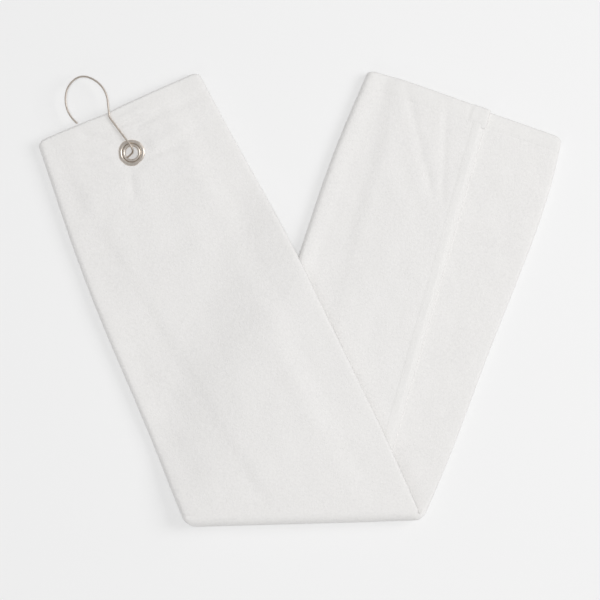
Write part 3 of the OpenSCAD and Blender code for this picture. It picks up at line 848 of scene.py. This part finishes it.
def make_grommet():
    """The eyelet, whose barrel is rolled over at the top, and the washer on the cloth.

    Their profiles are radii from the axis and heights above the table.
    """
    flange = arc((9.25, 2.15), 0.43, 60, -90, 9) + arc((5.25, 2.25), 0.5, -90, -180, 7)
    roll = arc((5.7, 8.75), 0.95, 180, -12, 22)
    eyelet_profile = [(5.25, 2.2), *flange, (4.75, 5.0), (4.75, 8.7), *roll, (5.3, 8.55), (5.25, 7.0)]
    dome = arc((8.22, 7.6), 1.75, 149, 38, 20) + arc((9.42, 8.42), 0.27, 20, -90, 6)
    washer_profile = [(5.5, 8.14), (5.5, 8.46), (6.72, 8.5), *dome]
    eyelet = lathe("grommet_eyelet_metal", eyelet_profile, wobble=0.4)
    return eyelet, lathe("grommet_washer_metal", washer_profile, wobble=1)


def wire_path(start, heading, left, steps):
    """Points along a bent wire.

    Each step is (roll, length) for a straight or (roll, radius, degrees) for a bend to the left. The
    roll, in degrees, turns the wire about itself first.
    """
    point = np.array(start, float)
    points = [point]
    for roll, size, *bend in steps:
        roll = math.radians(roll)
        left = left * math.cos(roll) + np.cross(heading, left) * math.sin(roll)
        if not bend:
            count = max(2, int(size / 0.8))
            points += [point + heading * size * (i + 1) / count for i in range(count)]
        else:
            count, whole_angle = max(4, int(bend[0] / 3)), math.radians(bend[0])
            centre = point + left * size
            angles = [whole_angle * (i + 1) / count for i in range(count)]
            points += [centre + size * (heading * math.sin(a) - left * math.cos(a)) for a in angles]
            cos, sin = math.cos(whole_angle), math.sin(whole_angle)
            heading, left = heading * cos + left * sin, left * cos - heading * sin
        point = points[-1]
    return points


def hook_route():
    """The hook's wire from its tail under the cloth, up through the grommet, and round its open loop."""
    shank_angle, shank_offset, shank_z = math.radians(126.9), 2.66, 10.7
    tail_z, level_radius, dip_degrees = 0.7, 3.0, 62
    dip_cos, dip_sin = math.cos(math.radians(dip_degrees)), math.sin(math.radians(dip_degrees))
    dip_radius = shank_offset / dip_cos
    dip_height = shank_z - tail_z - dip_radius * dip_sin - level_radius * (1 - dip_cos)
    ahead = np.array([math.cos(shank_angle), math.sin(shank_angle), 0])
    left = np.array([-ahead[1], ahead[0], 0])
    shank_start = 5.4  # ahead of the grommet's centre
    start = np.array([GROMMET_X, GROMMET_Y, shank_z]) + ahead * shank_start - left * shank_offset
    # the shank, a bend away from it, and the open loop in four arcs
    loop = [
        (0, 23.2), (180, 6, 31), (180, 10.1), (0, 20.4, 66.5), (0, 0.2),
        (0, 10.8, 55), (0, 0.2), (0, 16, 41), (0, 0.2), (0, 22.3, 62.5),
    ]
    # from the shank's other end round and down through the grommet, then level under the cloth
    tail = [
        (180 + dip_degrees, dip_radius, 90), (0, dip_height / dip_sin),
        (-90, level_radius, dip_degrees), (0, 9),
    ]
    up_to_start = wire_path(start, -ahead, -left, tail)[::-1]
    return np.array(up_to_start + wire_path(start, ahead, left, loop)[1:])


def make_wire(name, route, sides=16):
    """A round wire with domed ends along a route."""
    headings = np.gradient(route, axis=0)
    headings = headings / np.linalg.norm(headings, axis=1, keepdims=True)
    across = unit_vector(np.cross(headings[0], [0, 0, 1.0]))
    rings = []
    for centre, heading in zip(route, headings):
        across = unit_vector(across - heading * (across @ heading))
        rings.append((centre, heading, across, WIRE_RADIUS))

    def dome(ring, outward):
        """Rings that close one end, from its tip inwards."""
        centre, heading, across, radius = ring
        angles = np.linspace(math.pi / 2 * 0.97, 0, 6)[:-1]
        tips = [centre + outward * radius * math.sin(angle) * heading for angle in angles]
        return [(tip, heading, across, radius * math.cos(angle)) for tip, angle in zip(tips, angles)]

    rings = dome(rings[0], -1) + rings + dome(rings[-1], 1)[::-1]
    points = []
    for centre, heading, across, radius in rings:
        other = np.cross(heading, across)
        for angle in np.linspace(0, 2 * math.pi, sides, endpoint=False):
            points.append(centre + radius * (across * math.cos(angle) + other * math.sin(angle)))
    return make_piece(name, points, tube_faces(0, len(rings), sides), WIRE)


# ---------------------------------------------------------------- all pieces
lower_cloth, flap_cloth, turn_cloth, upper_cloth = make_panels()
lower_end_hem = end_hem("lower_end_hem_cloth", lower, slice(0, LEFT_COLUMN + 1), "right")
flap_end_hem = end_hem("flap_end_hem_cloth", lower, slice(LEFT_COLUMN, None), "left")
upper_end_hem = end_hem("upper_end_hem_cloth", upper, slice(None))
flap_hem, turn_outer_hem, upper_outer_hem = long_hem(
    "outer", ("flap_long_hem_cloth", "turn_outer_hem_cloth", "upper_outer_hem_cloth"))
inner_hem, turn_inner_hem, upper_inner_hem = long_hem(
    "inner", ("inner_long_hem_cloth", "turn_inner_hem_cloth", "upper_inner_hem_cloth"))
flap_stitches = stitching("flap_long_stitching", [long_seam(lower, up=1)])
flap_end_stitches = stitching("flap_end_stitching", [end_seam(lower, "outer", 0.02, 0.985, count=60, up=1)])
lower_end_stitches = stitching("lower_end_stitching", [end_seam(lower, "inner", 0.55, 0.985, count=40, up=1)])
upper_end_stitches = stitching("upper_end_stitching", [
    end_seam(upper, "middle", 0.01, 0.99, count=60, up=1),
    end_seam(upper, "outer", 0.03, 0.98, count=60, up=-1),
])
upper_stitches = stitching("upper_long_stitching", [long_seam(upper, up=-1)])
eyelet, washer = make_grommet()
hook = make_wire("hook_wire_metal", hook_route())

for piece in (lower_cloth, lower_end_hem, inner_hem, lower_end_stitches):
    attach(piece, "lower_leg")
for piece in (turn_cloth, turn_outer_hem, turn_inner_hem):
    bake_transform(piece)
for piece in (
    upper_cloth, upper_outer_hem, upper_inner_hem, upper_end_hem, upper_end_stitches, upper_stitches,
):
    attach(piece, "upper_leg")
for piece in (flap_cloth, flap_end_hem, flap_hem, flap_stitches, flap_end_stitches):
    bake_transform(piece)
for piece, node in ((eyelet, "grommet_eyelet"), (washer, "grommet_washer")):
    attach(piece, "upper_leg")
    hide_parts(node)
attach(hook, "hook")
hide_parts("hook_wire")

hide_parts("lower_middle_panel", "lower_inner_flap")
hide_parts("lower_end_hem")
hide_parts("lower_inner_hem")
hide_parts("lower_end_stitches")
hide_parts("lower_outer_flap", "corner_panel")
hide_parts("corner_end_hem")
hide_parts("lower_outer_hem", "corner_long_hem")
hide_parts("lower_outer_stitches", "corner_long_stitches")
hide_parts("corner_end_stitches")
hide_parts("upper_middle_panel", "upper_inner_flap", "upper_outer_flap")
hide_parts("upper_end_hem")
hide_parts("upper_outer_hem")
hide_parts("upper_inner_hem")
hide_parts("upper_end_stitches")


# ---------------------------------------------------------------- floor, light and camera
def make_floor():
    bpy.ops.mesh.primitive_plane_add(size=12, location=(0, 0, -0.6 * MM))
    floor = bpy.context.object
    floor.name = "floor"
    floor.data.materials.append(floor_material())


def make_world():
    world = bpy.data.worlds.new("studio")
    bpy.context.scene.world = world
    world.use_nodes = True
    background = world.node_tree.nodes["Background"]
    background.inputs["Color"].default_value = (1, 1, 1, 1)
    background.inputs["Strength"].default_value = 0.42


def softbox(name, location, size, energy, glare=True):
    """A square lamp that points at the middle of the towel. Without glare it doesn't show in the metal."""
    lamp = bpy.data.lights.new(name, "AREA")
    lamp.shape = "RECTANGLE"
    lamp.size = lamp.size_y = size
    lamp.energy = energy
    light = bpy.data.objects.new(name, lamp)
    bpy.context.scene.collection.objects.link(light)
    light.location = location
    light.rotation_euler = (-Vector(location)).to_track_quat("-Z", "Y").to_euler()
    light.visible_glossy = glare


def make_camera():
    """A camera straight above, far enough off to hardly show perspective."""
    height = 1.9
    picture_width, picture_height = 0.438, 8 * MM  # what the picture spans, halfway up the towel
    lens = bpy.data.cameras.new("camera")
    lens.sensor_width = 36
    lens.lens = lens.sensor_width * (height - picture_height) / picture_width
    camera = bpy.data.objects.new("camera", lens)
    bpy.context.scene.collection.objects.link(camera)
    camera.location = (-0.4 * MM, -0.7 * MM, height)
    bpy.context.scene.camera = camera


make_floor()
make_world()
softbox("key", (1.75, 0.4, 1.5), 1.2, 20)
softbox("fill", (-0.8, -1.6, 1.7), 1.5, 4, glare=False)
softbox("overhead", (0, 0, 2.8), 0.5, 27, glare=False)
make_camera()
bpy.context.scene.view_settings.view_transform = "Standard"
